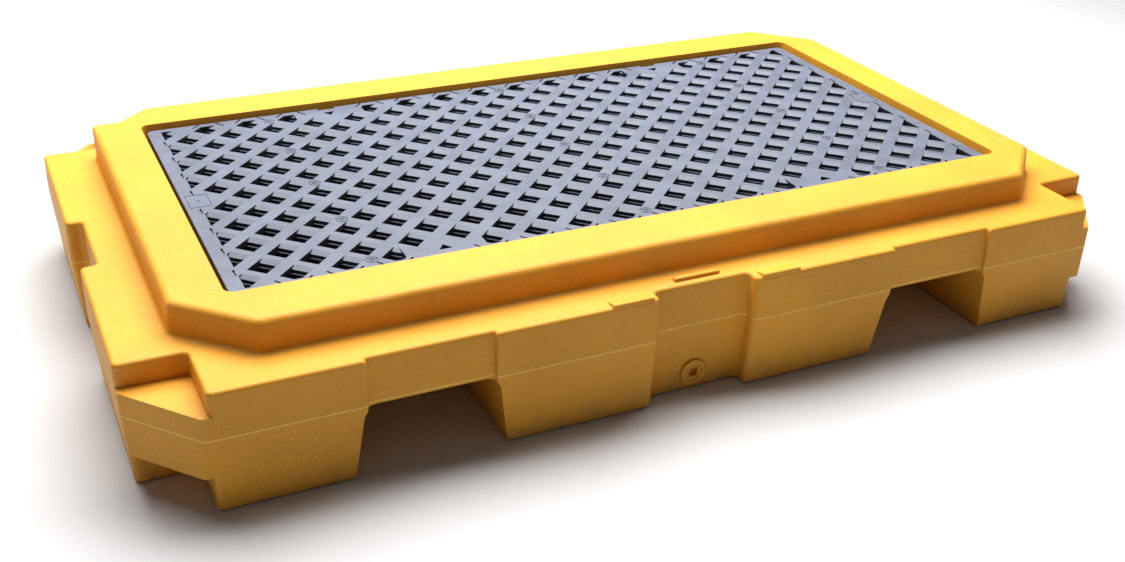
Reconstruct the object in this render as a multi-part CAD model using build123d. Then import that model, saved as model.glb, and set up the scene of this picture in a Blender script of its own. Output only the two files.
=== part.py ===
from build123d import *
import math
import os

os.makedirs("parts", exist_ok=True)

# Spill containment pallet, in millimetres. X runs along the long side, Y across, Z up.
# The origin is the centre of the footprint on the floor.

# Sump body: half length and half width at the floor, and from the mould seam up to the shelf
floor_half = (760, 456)
wall_half = (768, 466)
seam_z = 112
shelf_z = 177
rim_z = 222
wall = 6

# Raised rim around the opening
rim_foot_half = (692, 400)
rim_top_half = (689, 397)
rim_chamfer = 92
opening_half = (617, 312)
opening_radius = 14
ledge_width = 25

# Corners: square notches above and below, a diagonal wall between them
notch_inner = (678, 358)
diagonal_ends = (686, 367)
upper_notch_z = 144
lower_notch_z = 56

# Fork pockets and the shallow relief above each
pocket_x = 398
pocket_floor_width = 210
pocket_roof_width = 180
pocket_height = 108
pocket_radius = 18
relief_width = 172
relief_depth = 8

# Recess in the middle of each side, and the lands and the bar beside it
recess_half_width = 75
recess_depth = 23
land_length = 61
land_gap = 10
land_setback = 0.5
land_width = 23
land_height = 5
bar_half = (35, 4)
bar_y = 427
bar_height = 5

# Grate
grate_half = (609.5, 305)
grate_thickness = 38
grate_top_z = 213.5
grate_under_z = grate_top_z - grate_thickness
pitch = 69.1
columns = 17
rows = 8
hole_half = 15
cap_depth = 9
ledge_step = 3
web = 5
ramp_length = 8
ramp_drop = 4
window_half = (588, 292)
pad_columns = (4, 13)
pad_half_width = 58
groove = 3
gate_columns = (2.5, 8.5, 14.5)
gate_rows = (0, 2, 4, 6, 8)
gate_radius = 9

# Support posts: radius at the foot, radius at the top, wall, height of the spigot in the foot
post_rows = {"front": -2 * pitch, "middle": 0, "rear": 2 * pitch}
short_post_x = 6 * pitch
tall_foot_radius = 38
short_foot_radius = 35
post_top_radius = 30
post_wall = 4
post_top_z = grate_under_z - 0.5
spigot_height = 8
spigot_slack = 0.2

# Drain, on the back wall of the front recess
drain_z = 30
drain_face_y = -435
drain_pad_radius = 23
drain_pad_depth = 8
flange_radius = 19.5
flange_thickness = 5
barrel_radius = 17
seat_radius = 14
seat_depth = 8
bore_radius = 11
fitting_length = 28
gasket_radius = 22
gasket_thickness = 3
nut_across_flats = 42
nut_height = 8
running_gap = 0.05
plug_gasket_thickness = 2
plug_head_thickness = 5
plug_shank_length = 20
drive_size = 12.7
drive_depth = 9
thread_pitch = 3


def block(x0, x1, y0, y1, z0, z1):
    return Pos((x0 + x1) / 2, (y0 + y1) / 2, (z0 + z1) / 2) * Box(x1 - x0, y1 - y0, z1 - z0)


def slab(z0, rect0, z1, rect1):
    """Solid between a rectangle at z0 and one at z1, each (x low, x high, y low, y high)."""
    sections = []
    for z, (x0, x1, y0, y1) in ((z0, rect0), (z1, rect1)):
        centre = Pos((x0 + x1) / 2, (y0 + y1) / 2, z)
        sections.append(centre * Rectangle(x1 - x0, y1 - y0))
    return loft(sections)


def centred(half, inset=0):
    return (-half[0] + inset, half[0] - inset, -half[1] + inset, half[1] - inset)


def both_ends(solid):
    return [solid, mirror(solid, about=Plane.YZ)]


def both_sides(solid):
    return [solid, mirror(solid, about=Plane.XZ)]


def four_corners(solid):
    return both_ends(solid) + [Rot(0, 0, 180) * copy for copy in both_ends(solid)]


# ---- sump body -------------------------------------------------------------


def corner_cuts(inset):
    """What is missing from a corner: a square above and below, and a triangle between them."""
    reach = 900
    nx = notch_inner[0] - inset
    ny = notch_inner[1] - inset
    upper = block(nx, reach, ny, reach, upper_notch_z - inset, shelf_z + 10)
    lower = block(nx, reach, ny, reach, -10, lower_notch_z + inset)
    run = (wall_half[0] - diagonal_ends[0], wall_half[1] - diagonal_ends[1])
    shift = inset * math.hypot(1, run[1] / run[0])
    start = (diagonal_ends[0] - run[0], wall_half[1] + run[1] - shift)
    end = (wall_half[0] + run[0], diagonal_ends[1] - run[1] - shift)
    low_z = lower_notch_z - inset
    triangle = Pos(0, 0, low_z) * Polygon(start, end, (reach, reach), align=None)
    diagonal = extrude(triangle, upper_notch_z - low_z + inset)
    return four_corners(diagonal) + four_corners(upper) + four_corners(lower)


def pockets(grow):
    """Both fork pockets, right through in Y, with rounded roof corners."""
    half_floor = pocket_floor_width / 2 + grow
    half_roof = pocket_roof_width / 2 + grow
    top = pocket_height + grow
    outline = Polygon((-half_floor, 0), (half_floor, 0), (half_roof, top), (-half_roof, top), align=None)
    roof_corners = outline.vertices().sort_by(Axis.Y)[-2:]
    outline = fillet(roof_corners, pocket_radius + grow)
    one = extrude(Plane.XZ * outline, 600, both=True)
    return [Pos(x, 0, 0) * one for x in (-pocket_x, pocket_x)]


def reliefs(inset):
    """Shallow recess of the wall above each fork pocket, from the pocket's roof to the shelf."""
    half = relief_width / 2 + inset
    near = wall_half[1] - relief_depth - inset
    low_z = pocket_height - 20
    return four_corners(block(pocket_x - half, pocket_x + half, near, 600, low_z, shelf_z + 10))


def side_recesses(inset):
    """Recess in the middle of each of the four sides, with the same draft as the wall."""
    half = recess_half_width + inset
    sunk = recess_depth + inset
    levels = ((0, floor_half), (seam_z, wall_half), (shelf_z + 10, wall_half))
    cuts = []
    for (z0, (x0, y0)), (z1, (x1, y1)) in zip(levels, levels[1:]):
        cuts += both_ends(slab(z0, (x0 - sunk, 900, -half, half), z1, (x1 - sunk, 900, -half, half)))
        cuts += both_sides(slab(z0, (-half, half, y0 - sunk, 600), z1, (-half, half, y1 - sunk, 600)))
    return cuts


def tub(inset):
    """The body below the shelf, drawn in by inset on every wall."""
    lower = slab(inset, centred(floor_half, inset), seam_z, centred(wall_half, inset))
    upper = slab(seam_z, centred(wall_half, inset), shelf_z - inset, centred(wall_half, inset))
    return lower + upper - corner_cuts(inset) - reliefs(inset) - side_recesses(inset)


def octagon(half, inset):
    hx = half[0] - inset
    hy = half[1] - inset
    cut = rim_chamfer - inset * (2 - math.sqrt(2))
    points = [(hx - cut, hy), (hx, hy - cut), (hx, -hy + cut), (hx - cut, -hy)]
    points += [(-x, y) for x, y in reversed(points)]
    return Polygon(*points, align=None)


def rim(inset):
    foot = Pos(0, 0, shelf_z - 1 - inset) * octagon(rim_foot_half, inset)
    top = Pos(0, 0, rim_z - inset) * octagon(rim_top_half, inset)
    return loft([foot, top])


def height_span(edge):
    box = edge.bounding_box()
    return box.min.Z, box.max.Z


def level_edges(body, z):
    slack = 0.6
    return [edge for edge in body.edges() if all(abs(end - z) < slack for end in height_span(edge))]


def upright_edges(body, low_z, high_z):
    shortest = 15
    found = []
    for edge in body.edges():
        bottom, top = height_span(edge)
        if bottom > low_z and top < high_z and top - bottom > shortest:
            found.append(edge)
    return found


def at_corner(edge):
    centre = edge.center()
    return abs(centre.X) > notch_inner[0] - 8 and abs(centre.Y) > notch_inner[1] - 8


def at_recess(edge):
    centre = edge.center()
    middle = min(abs(centre.X), abs(centre.Y)) < recess_half_width + 5
    return middle and not at_corner(edge)


def at_relief(edge):
    beside = abs(abs(edge.center().X) - pocket_x) < relief_width / 2 + 5
    return beside and height_span(edge)[1] > upper_notch_z


def round_walls(body):
    for belongs, radius in ((at_corner, 8), (at_recess, 8), (at_relief, 3)):
        body = fillet([edge for edge in upright_edges(body, -1, shelf_z + 1) if belongs(edge)], radius)
    return body


def round_levels(body):
    """The edges of the rim, the shelf and the floor."""

    def under_rim(edge):
        centre = edge.center()
        return abs(centre.X) < rim_foot_half[0] + 1 and abs(centre.Y) < rim_foot_half[1] + 1

    body = fillet(upright_edges(body, shelf_z - 2, rim_z + 1), 14)
    body = fillet(level_edges(body, rim_z), 10)
    body = fillet([edge for edge in level_edges(body, shelf_z) if not under_rim(edge)], 5)
    body = fillet([edge for edge in level_edges(body, shelf_z) if under_rim(edge)], 6)
    return fillet(level_edges(body, 0), 6)


def wall_outline(body, z):
    """The body's outline at height z, as one flat face without the fork pockets."""
    slice_of_body = body & block(-900, 900, -600, 600, z, z + 1)
    return slice_of_body.faces().sort_by(Axis.Z)[0]


def lands_and_bars(body):
    """Raised lands beside the long sides' recesses, and a bar on the shelf behind each recess."""
    outline = offset(wall_outline(body, shelf_z - 10), -land_setback)
    outline = extrude(outline, land_height + 10, dir=(0, 0, 1))
    top_z = shelf_z + land_height
    back_y = wall_half[1] - land_width
    profile = Polygon((back_y, shelf_z), (600, shelf_z + land_height * (600 - back_y) / land_width),
                      (600, shelf_z - 10), (back_y, shelf_z - 10), align=None)
    wedge = extrude(Plane.YZ * profile, land_length, dir=(1, 0, 0))
    land = (Pos(recess_half_width + land_gap, 0, 0) * wedge) & outline
    land = fillet(level_edges(land, top_z), 3)
    low_y, high_y = bar_y - bar_half[1], bar_y + bar_half[1]
    bar = block(-bar_half[0], bar_half[0], low_y, high_y, shelf_z - 3, shelf_z + bar_height)
    bar = fillet(level_edges(bar, shelf_z + bar_height), 2)
    return four_corners(land) + both_sides(bar)


def post_positions():
    """Name, centre, foot height and foot radius of each support post."""
    for row, y in post_rows.items():
        yield f"tall_post_{row}", (0, y), wall, tall_foot_radius
        for side, x in (("left", -short_post_x), ("right", short_post_x)):
            yield f"short_post_{side}_{row}", (x, y), pocket_height + wall, short_foot_radius


def opening_collar():
    """Lip that hangs from the rim's inner edge and turns in to carry the grate."""
    low_z = grate_under_z - wall
    outer_edge = Rectangle(2 * (opening_half[0] + wall), 2 * (opening_half[1] + wall))
    outer_edge = fillet(outer_edge.vertices(), opening_radius + wall)
    inner_edge = Rectangle(2 * (opening_half[0] - ledge_width), 2 * (opening_half[1] - ledge_width))
    inner_edge = fillet(inner_edge.vertices(), opening_radius)
    ring = extrude(Pos(0, 0, low_z) * (outer_edge - inner_edge), rim_z - wall - low_z + 1)
    return ring - opening(grate_under_z)


def opening(low_z):
    outline = Rectangle(2 * opening_half[0], 2 * opening_half[1])
    outline = fillet(outline.vertices(), opening_radius)
    return extrude(Pos(0, 0, low_z) * outline, 2 * rim_z)


def along_drain(radius, near_y, length):
    """Cylinder on the drain's axis, from near_y inwards."""
    return Pos(0, near_y + length / 2, drain_z) * Rot(90, 0, 0) * Cylinder(radius, length)


def inside(skin_wall):
    """The hollow of the sump, less the posts' spigots and the pad behind the drain."""
    room = tub(skin_wall) - pockets(skin_wall) + rim(skin_wall)
    solids = [along_drain(drain_pad_radius, drain_face_y - 2, drain_pad_depth + 2)]
    for name, (x, y), foot_z, foot_radius in post_positions():
        spigot = Cylinder(foot_radius - post_wall - spigot_slack, spigot_height + 2)
        solids.append(Pos(x, y, foot_z + spigot_height / 2 - 1) * spigot)
    return room - solids


def make_sump_body():
    skin = round_walls(tub(0) - pockets(0) + rim(0))
    body = round_levels(skin)
    body = body - along_drain(drain_pad_radius, drain_face_y - 20, 20)
    body = body - inside(wall)
    body = body - along_drain(barrel_radius + running_gap, drain_face_y - 1, 20)
    body = body + lands_and_bars(skin)
    body = body - opening(shelf_z)
    return body + opening_collar()


# ---- deck grate ------------------------------------------------------------


def grate_hole():
    """One drainage hole, its ramp towards +X. It widens under the top skin, where the ribs are thin."""
    rib_clear = pitch / math.sqrt(8) - web / 2
    top = block(-hole_half, hole_half, -hole_half, hole_half, -cap_depth, 1)
    deep = block(-hole_half, hole_half - ledge_step, -rib_clear, rib_clear, -grate_thickness - 1, -cap_depth)
    edge = hole_half
    ramp = Polygon((edge - 1, 1), (edge - 1, -ramp_drop), (edge, -ramp_drop), (edge + ramp_length, 0),
                   (edge + ramp_length, 1), align=None)
    return top + deep + extrude(Plane.XZ * ramp, hole_half, both=True)


def lattice():
    """Column, row and centre of every hole. The pattern is two square lattices, half a pitch apart."""
    for step in range(2 * columns + 1):
        for half_row in range(2 * rows + 1):
            if (step + half_row) % 2 == 0:
                column = step / 2
                row = half_row / 2
                yield column, row, (column - columns / 2) * pitch, (rows / 2 - row) * pitch


def line_groove(start, end):
    """Straight groove in the top face between two points."""
    (x0, y0), (x1, y1) = start, end
    length = math.hypot(x1 - x0, y1 - y0)
    angle = math.degrees(math.atan2(y1 - y0, x1 - x0))
    return Pos((x0 + x1) / 2, (y0 + y1) / 2, 0) * Rot(0, 0, angle) * Box(length, groove, 2 * groove)


def edge_grooves(x):
    """Two short slanting grooves beside a hole on the far long edge."""
    half_y = grate_half[1]
    left = line_groove((x - 19, window_half[1] - 2), (x - 7, half_y - 2))
    right = line_groove((x + 20, half_y - 2), (x + 30, window_half[1] - 6))
    return [left, right]


def gate_mark(x, y):
    """Shallow ring with a nub in the middle, left by the mould."""
    depth = 1.2
    ring = Cylinder(gate_radius, 2 * depth) - Cylinder(gate_radius - 1.6, 2 * depth)
    dimple = Cylinder(gate_radius / 2, 2 * depth) - Cylinder(gate_radius / 4, 2 * depth)
    return [Pos(x, y, 0) * ring, Pos(x, y, 0) * dimple]


def plain_pad(x):
    """Features of one solid pad on the far long edge: a small three-cornered hole and an edge slot."""
    y = window_half[1] - 16
    corner = Polygon((x - 10, y + 7), (x + 10, y + 7), (x, y - 7), align=None)
    through = extrude(Pos(0, 0, -grate_thickness - 1) * corner, grate_thickness + 2, dir=(0, 0, 1))
    slot = block(x - 14.5, x + 14.5, grate_half[1] - 8, grate_half[1] + 1, -10, 1)
    return [through, slot]


def end_panel():
    """Outline groove and dot on the solid place in the middle of the +X end."""
    x = (window_half[0] + grate_half[0]) / 2 - 11
    frame = Rectangle(32, 46) - Rectangle(32 - 2 * 1.5, 46 - 2 * 1.5)
    panel = extrude(Pos(x, 0, -1) * frame, 2, dir=(0, 0, 1))
    return [panel, Pos(x, 0, 0) * Cylinder(2, 2)]


def make_grate():
    hole = Rot(0, 0, 45) * grate_hole()
    window = block(*centred(window_half), -2 * grate_thickness, grate_thickness)
    cutters = []
    for column, row, x, y in lattice():
        on_end = column in (0, columns)
        on_side = row in (0, rows)
        if on_end and row == rows / 2:
            continue
        if on_side and column in pad_columns:
            continue
        cutter = Pos(x, y, 0) * hole
        if on_end or on_side:
            cutter = cutter & window
        if on_side and not on_end:
            for pad_x in ((pad - columns / 2) * pitch for pad in pad_columns):
                if abs(abs(x - pad_x) - pitch) < 1:
                    solid = block(pad_x - pad_half_width, pad_x + pad_half_width, -400, 400, -100, 100)
                    cutter = cutter - solid
        cutters.append(cutter)
    half_turn = Rot(0, 0, 180)
    for column in range(1, columns):
        x = (column - columns / 2) * pitch
        marks = plain_pad(x) if column in pad_columns else edge_grooves(x)
        cutters += marks + [half_turn * mark for mark in marks]
    for row in range(rows):
        end_mark = line_groove((window_half[0] + 3, 22), (window_half[0] + 3, 40))
        cutters += [Pos(0, (row - rows / 2) * pitch, 0) * mark for mark in both_ends(end_mark)]
    cutters += end_panel() + [half_turn * mark for mark in end_panel()]
    for column in gate_columns:
        for row in gate_rows:
            cutters += gate_mark((column - columns / 2) * pitch, (rows / 2 - row) * pitch)
    plate = block(*centred(grate_half), -grate_thickness, 0)
    plate = fillet(upright_edges(plate, -grate_thickness - 1, 1), 12)
    plate = fillet(level_edges(plate, 0), 1.5)
    return Pos(0, 0, grate_top_z) * (plate - cutters)


# ---- support posts ---------------------------------------------------------


def make_post(x, y, foot_z, foot_radius):
    """Hollow cone, open at the foot, with a closed top."""
    height = post_top_z - foot_z
    base = Pos(x, y, foot_z)
    outside = base * Pos(0, 0, height / 2) * Cone(foot_radius, post_top_radius, height)
    outside = fillet(level_edges(outside, post_top_z), 3)
    room = height - post_wall
    straight = base * Pos(0, 0, spigot_height / 2) * Cylinder(foot_radius - post_wall, spigot_height)
    hollow = base * Pos(0, 0, room / 2) * Cone(foot_radius - post_wall, post_top_radius - post_wall, room)
    return outside - hollow - straight


# ---- drain -----------------------------------------------------------------


def make_drain_fitting():
    flange = along_drain(flange_radius, drain_face_y - flange_thickness, flange_thickness)
    flange = fillet(flange.edges().sort_by(Axis.Y)[0], 1.5)
    barrel = along_drain(barrel_radius, drain_face_y, fitting_length - flange_thickness)
    seat = along_drain(seat_radius, drain_face_y - flange_thickness, seat_depth)
    bore = along_drain(bore_radius, drain_face_y - flange_thickness, fitting_length)
    return flange + barrel - seat - bore


def make_fitting_gasket():
    near_y = drain_face_y + drain_pad_depth
    ring = along_drain(gasket_radius, near_y, gasket_thickness)
    return ring - along_drain(barrel_radius + running_gap, near_y, gasket_thickness)


def make_fitting_nut():
    near_y = drain_face_y + drain_pad_depth + gasket_thickness
    outline = RegularPolygon(nut_across_flats / 2, 6, major_radius=False)
    hexagon = Pos(0, near_y, drain_z) * extrude(Plane.XZ * outline, nut_height, dir=(0, 1, 0))
    return hexagon - along_drain(barrel_radius + running_gap, near_y, nut_height)


seat_face_y = drain_face_y - flange_thickness + seat_depth
head_under_y = seat_face_y - plug_gasket_thickness
head_face_y = head_under_y - plug_head_thickness


def make_plug_gasket():
    ring = along_drain(seat_radius - 0.2, head_under_y, plug_gasket_thickness)
    return ring - along_drain(bore_radius, head_under_y, plug_gasket_thickness)


def make_drain_plug():
    """Plug with a square drive in its head and rings for the thread on its shank."""
    head = along_drain(seat_radius - 0.1, head_face_y, plug_head_thickness)
    head = fillet(head.edges().sort_by(Axis.Y)[0], 1)
    core_radius = bore_radius - 1.2
    shank = along_drain(core_radius, head_under_y, plug_shank_length)
    plug = head + shank + along_drain(bore_radius - running_gap, head_under_y, plug_gasket_thickness)
    ring_width = thread_pitch / 2
    ring_y = seat_face_y + ring_width
    while ring_y + ring_width < head_under_y + plug_shank_length:
        plug += along_drain(bore_radius - running_gap, ring_y, ring_width)
        ring_y += thread_pitch
    drive = Box(drive_size, drive_depth, drive_size)
    return plug - Pos(0, head_face_y + drive_depth / 2, drain_z) * drive


# ---- files -----------------------------------------------------------------

pieces = {
    "sump_body": make_sump_body(),
    "deck_grate": make_grate(),
    "drain_fitting": make_drain_fitting(),
    "fitting_gasket": make_fitting_gasket(),
    "fitting_nut": make_fitting_nut(),
    "drain_plug": make_drain_plug(),
    "plug_gasket": make_plug_gasket(),
}
for name, (x, y), foot_z, foot_radius in post_positions():
    pieces[name] = make_post(x, y, foot_z, foot_radius)

for name, piece in pieces.items():
    export_step(piece, f"parts/{name}.step")
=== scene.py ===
import bmesh
import bpy
from mathutils import Matrix, Vector


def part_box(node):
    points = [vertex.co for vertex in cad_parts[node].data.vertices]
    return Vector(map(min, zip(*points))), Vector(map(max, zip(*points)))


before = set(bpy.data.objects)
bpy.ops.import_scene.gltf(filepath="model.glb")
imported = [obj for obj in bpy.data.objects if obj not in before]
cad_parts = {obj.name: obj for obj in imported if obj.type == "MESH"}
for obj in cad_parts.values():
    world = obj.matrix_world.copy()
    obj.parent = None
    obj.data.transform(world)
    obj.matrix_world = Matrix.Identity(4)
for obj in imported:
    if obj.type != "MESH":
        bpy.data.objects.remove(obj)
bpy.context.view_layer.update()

# ---- The sump body ----
# One rotationally moulded shell of safety-yellow polyethylene. The plastic is coloured right
# through and comes out of the mould with a soft orange peel; use scuffs its rim and dulls its foot.


class Wire:
    """A socket of a material, so that a pattern on the surface is written as arithmetic."""

    def __init__(self, finish, socket):
        self.finish = finish
        self.socket = socket

    def _math(self, operation, *values):
        inputs = dict(enumerate(values))
        return self.finish.node("Math", {"operation": operation}, inputs)

    def __add__(self, other):
        return self._math("ADD", self, other)

    def __sub__(self, other):
        return self._math("SUBTRACT", self, other)

    def __rsub__(self, other):
        return self._math("SUBTRACT", other, self)

    def __mul__(self, other):
        return self._math("MULTIPLY", self, other)

    __radd__ = __add__
    __rmul__ = __mul__

    def between(self, low, high):
        """0 at low, 1 at high, clamped outside them."""
        settings = {"clamp": True, "interpolation_type": "SMOOTHSTEP"}
        return self.finish.node("MapRange", settings, {"Value": self, "From Min": low, "From Max": high})


class Finish:
    """One procedural material, read on Object coordinates, in metres."""

    def __init__(self, name):
        self.material = bpy.data.materials.new(name)
        self.material.use_nodes = True
        self.tree = self.material.node_tree
        self.surface = self.tree.nodes["Principled BSDF"]
        self.place = self.node("TexCoord", {}, {}, "Object")

    def node(self, kind, settings, inputs, output=0):
        made = self.tree.nodes.new("ShaderNode" + kind)
        for name, setting in settings.items():
            setattr(made, name, setting)
        for name, value in inputs.items():
            self.feed(made.inputs[name], value)
        return Wire(self, made.outputs[output])

    def feed(self, socket, value):
        if isinstance(value, Wire):
            self.tree.links.new(value.socket, socket)
        elif isinstance(value, tuple) and socket.type == "RGBA":
            socket.default_value = (*value, 1.0)
        else:
            socket.default_value = value

    def noise(self, size, detail=2.0, stretch=(1.0, 1.0, 1.0), rough=0.5):
        """Noise with features of about that size in metres."""
        vector = self.place
        if stretch != (1.0, 1.0, 1.0):
            vector = self.node("Mapping", {}, {"Vector": self.place, "Scale": stretch})
        inputs = {"Vector": vector, "Scale": 1.0 / size, "Detail": detail, "Roughness": rough}
        return self.node("TexNoise", {}, inputs)

    def mix(self, factor, first, second):
        return self.node("Mix", {"data_type": "RGBA"}, {0: factor, 6: first, 7: second}, 2)

    def height(self, axis):
        return self.node("SeparateXYZ", {}, {0: self.place}, axis)

    def bump(self, relief, depth, strength=1.0):
        """The normal over a relief of 0 to 1, that deep in metres."""
        return self.node("Bump", {}, {"Height": relief, "Distance": depth, "Strength": strength})

    def set(self, **values):
        for name, value in values.items():
            self.feed(self.surface.inputs[name.replace("_", " ")], value)

    def onto(self, *pieces):
        for piece in pieces:
            piece.data.materials.clear()
            piece.data.materials.append(self.material)


def moulded_yellow(name, colour, big):
    """Rotomoulded polyethylene: orange peel, cloudy colour and fine scuffs. The big shell also
    has the mould's seam, a thin proud line all round its wall with a painted highlight, and dust low
    down."""
    plastic = Finish(name)
    cloud = plastic.noise(0.16, 3.0)
    speckle = plastic.noise(0.004, 2.0)
    scuff = plastic.noise(0.035, 5.0, (1.0, 6.0, 3.0), 0.7).between(0.60, 0.72)
    deeper = tuple(part * 0.86 for part in colour)
    worn = tuple(part + (0.92 - part) * 0.16 for part in colour)
    tone = plastic.mix(cloud.between(0.3, 0.7), deeper, colour)
    tone = plastic.mix(speckle.between(0.35, 0.75) * 0.22, tone, worn)
    tone = plastic.mix(scuff * 0.35, tone, worn)
    peel = plastic.noise(0.0055, 1.5)
    ripple = plastic.noise(0.06, 2.0)
    relief = peel * 0.25 + ripple
    if big:
        seam_z = 0.112
        off_seam = plastic.node("Math", {"operation": "ABSOLUTE"}, {0: plastic.height(2) - seam_z})
        seam = 1.0 - off_seam.between(0.0006, 0.0018)
        relief = relief + seam * 0.8
        # Painted highlight: the seam is painted a lighter yellow, as light caught by its proud bead.
        tone = plastic.mix(seam * 0.8, tone, (0.97, 0.66, 0.14))
        dust_line = 0.06
        low = 1.0 - plastic.height(2).between(0.0, dust_line)
        dust = low * plastic.noise(0.03, 4.0).between(0.35, 0.7)
        tone = plastic.mix(dust * 0.35, tone, (0.30, 0.22, 0.12))
    rough = 0.50 + cloud * 0.10 + scuff * 0.15
    skin = plastic.bump(relief, 0.0012, 0.6)
    plastic.set(Base_Color=tone, Roughness=rough, Normal=skin, Specular_IOR_Level=0.3)
    return plastic


sump_yellow = (0.80, 0.36, 0.018)
body_plastic = moulded_yellow("sump_polyethylene", sump_yellow, big=True)
body_plastic.onto(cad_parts["sump_body"])

# ---- The deck grate ----
# One injection-moulded panel of blue-grey polyethylene that lies loose on the sump's inner ledge.
# Its skin is finely grained, rubbed lighter on the ribs' tops by drums, with dust held in the grain; its
# walls below the top skin carry painted shade.

grate_grey = (0.088, 0.100, 0.142)
grate_plastic = Finish("grate_polyethylene")
rubbing = grate_plastic.noise(0.05, 5.0, (1.0, 1.0, 1.0), 0.65)
streak = grate_plastic.noise(0.02, 4.0, (1.0, 8.0, 1.0), 0.6).between(0.55, 0.75)
grain = grate_plastic.noise(0.0016, 2.0)
top_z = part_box("deck_grate")[1].z
on_top = grate_plastic.height(2).between(top_z - 0.0055, top_z - 0.004)
skin_normal = grate_plastic.node("NewGeometry", {}, {}, "Normal")
facing_up = grate_plastic.node("SeparateXYZ", {}, {0: skin_normal}, 2)
# Painted shade: walls below the top skin that don't face up, in the holes and round the panel's sides,
# are masked here.
below_skin = 1.0 - grate_plastic.height(2).between(top_z - 0.002, top_z)
hole_wall_painted_shade = (1.0 - facing_up.between(0.5, 0.85)) * below_skin
grate_tone = grate_plastic.mix(rubbing.between(0.35, 0.65), grate_grey, (0.115, 0.130, 0.180))
grate_tone = grate_plastic.mix(streak * on_top * 0.35, grate_tone, (0.22, 0.24, 0.29))
# Painted shade: those walls are painted near black, where shade falls in the holes.
grate_tone = grate_plastic.mix(hole_wall_painted_shade * 0.9, grate_tone, (0.008, 0.008, 0.010))
grate_rough = 0.42 + rubbing * 0.22
grate_skin = grate_plastic.bump(grain, 0.0002)
grate_plastic.set(Base_Color=grate_tone, Roughness=grate_rough, Normal=grate_skin)
grate_plastic.onto(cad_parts["deck_grate"])

# ---- The support posts ----
# Hollow moulded cones pressed over spigots on the sump floor and on the fork pockets' roofs.
# They stand under the grate, in dark plastic with a satin skin and water marks.

post_plastic = Finish("post_polypropylene")
post_grain = post_plastic.noise(0.003, 3.0)
tide = post_plastic.noise(0.02, 4.0, (1.0, 1.0, 4.0)).between(0.5, 0.7)
post_tone = post_plastic.mix(tide * 0.4, (0.028, 0.029, 0.032), (0.075, 0.070, 0.060))
post_skin = post_plastic.bump(post_grain, 0.0003)
post_plastic.set(Base_Color=post_tone, Roughness=0.45 + tide * 0.2, Normal=post_skin)
post_plastic.onto(*[node for name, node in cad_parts.items() if "_post_" in name])

# ---- The drain ----
# A flanged fitting clamped through the wall by a nut inside, closed by a plug with a square drive.
# Fitting and plug are moulded in the body's yellow; the nut is black and the gaskets are rubber.

fitting_plastic = moulded_yellow("fitting_polyethylene", (0.80, 0.38, 0.020), big=False)
fitting_plastic.onto(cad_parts["drain_fitting"])
plug_plastic = moulded_yellow("plug_polyethylene", (0.74, 0.33, 0.018), big=False)
plug_plastic.onto(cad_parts["drain_plug"])

nut_plastic = Finish("nut_polypropylene")
nut_grain = nut_plastic.noise(0.0012, 3.0)
nut_tone = nut_plastic.mix(nut_grain.between(0.4, 0.7), (0.012, 0.012, 0.013), (0.030, 0.030, 0.032))
nut_skin = nut_plastic.bump(nut_grain, 0.0002)
nut_plastic.set(Base_Color=nut_tone, Roughness=0.35 + nut_grain * 0.2, Normal=nut_skin)
nut_plastic.onto(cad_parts["fitting_nut"])

gasket_rubber = Finish("gasket_rubber")
bloom = gasket_rubber.noise(0.004, 4.0)
rubber_tone = gasket_rubber.mix(bloom.between(0.4, 0.7), (0.010, 0.010, 0.011), (0.040, 0.040, 0.042))
rubber_skin = gasket_rubber.bump(bloom, 0.0002)
gasket_rubber.set(Base_Color=rubber_tone, Roughness=0.6 + bloom * 0.25, Normal=rubber_skin)
gasket_rubber.onto(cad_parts["plug_gasket"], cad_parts["fitting_gasket"])

# ---- The studio ----
# A pale seamless floor, one large soft light overhead and a weak cool one behind, for the sheen.

floor_mesh = bpy.data.meshes.new("studio_floor")
shape = bmesh.new()
bmesh.ops.create_grid(shape, x_segments=1, y_segments=1, size=9.0)
shape.to_mesh(floor_mesh)
shape.free()
studio_floor = bpy.data.objects.new("studio_floor", floor_mesh)
bpy.context.scene.collection.objects.link(studio_floor)
floor_paint = Finish("studio_paper")
fleck = floor_paint.noise(0.4, 2.0)
floor_paint.set(Base_Color=floor_paint.mix(fleck, (0.60, 0.60, 0.61), (0.62, 0.62, 0.63)), Roughness=0.9)
floor_paint.onto(studio_floor)


def soft_light(name, place, target, size, power, colour):
    lamp = bpy.data.lights.new(name, "AREA")
    lamp.shape = "RECTANGLE"
    lamp.size, lamp.size_y = size
    lamp.energy = power
    lamp.color = colour
    light = bpy.data.objects.new(name, lamp)
    light.location = place
    light.rotation_euler = (Vector(target) - Vector(place)).to_track_quat("-Z", "Y").to_euler()
    bpy.context.scene.collection.objects.link(light)


soft_light("overhead_light", (0.1, 0.75, 2.3), (0, 0.25, 0.1), (3.0, 2.0), 200.0, (1.0, 0.99, 0.97))
soft_light("back_light", (0.6, 3.8, 1.5), (0, 0, 0.2), (3.2, 1.4), 18.0, (0.86, 0.92, 1.0))

world = bpy.data.worlds.new("studio_air")
world.use_nodes = True
world.node_tree.nodes["Background"].inputs["Color"].default_value = (1.0, 1.0, 1.0, 1.0)
world.node_tree.nodes["Background"].inputs["Strength"].default_value = 0.10
bpy.context.scene.world = world
bpy.context.scene.view_settings.view_transform = "Standard"

camera_data = bpy.data.cameras.new("camera")
camera_data.sensor_width = 36.0
camera_data.lens = 43.0
camera = bpy.data.objects.new("camera", camera_data)
right = Vector((0.9062, -0.4225, 0.0207)).normalized()
forward = Vector((0.3830, 0.7987, -0.4641)).normalized()
up = right.cross(forward)
right = forward.cross(up)
turn = Matrix((right, up, -forward)).transposed().to_4x4()
camera.matrix_world = Matrix.Translation((-0.876, -1.829, 1.026)) @ turn
bpy.context.scene.collection.objects.link(camera)
bpy.context.scene.camera = camera
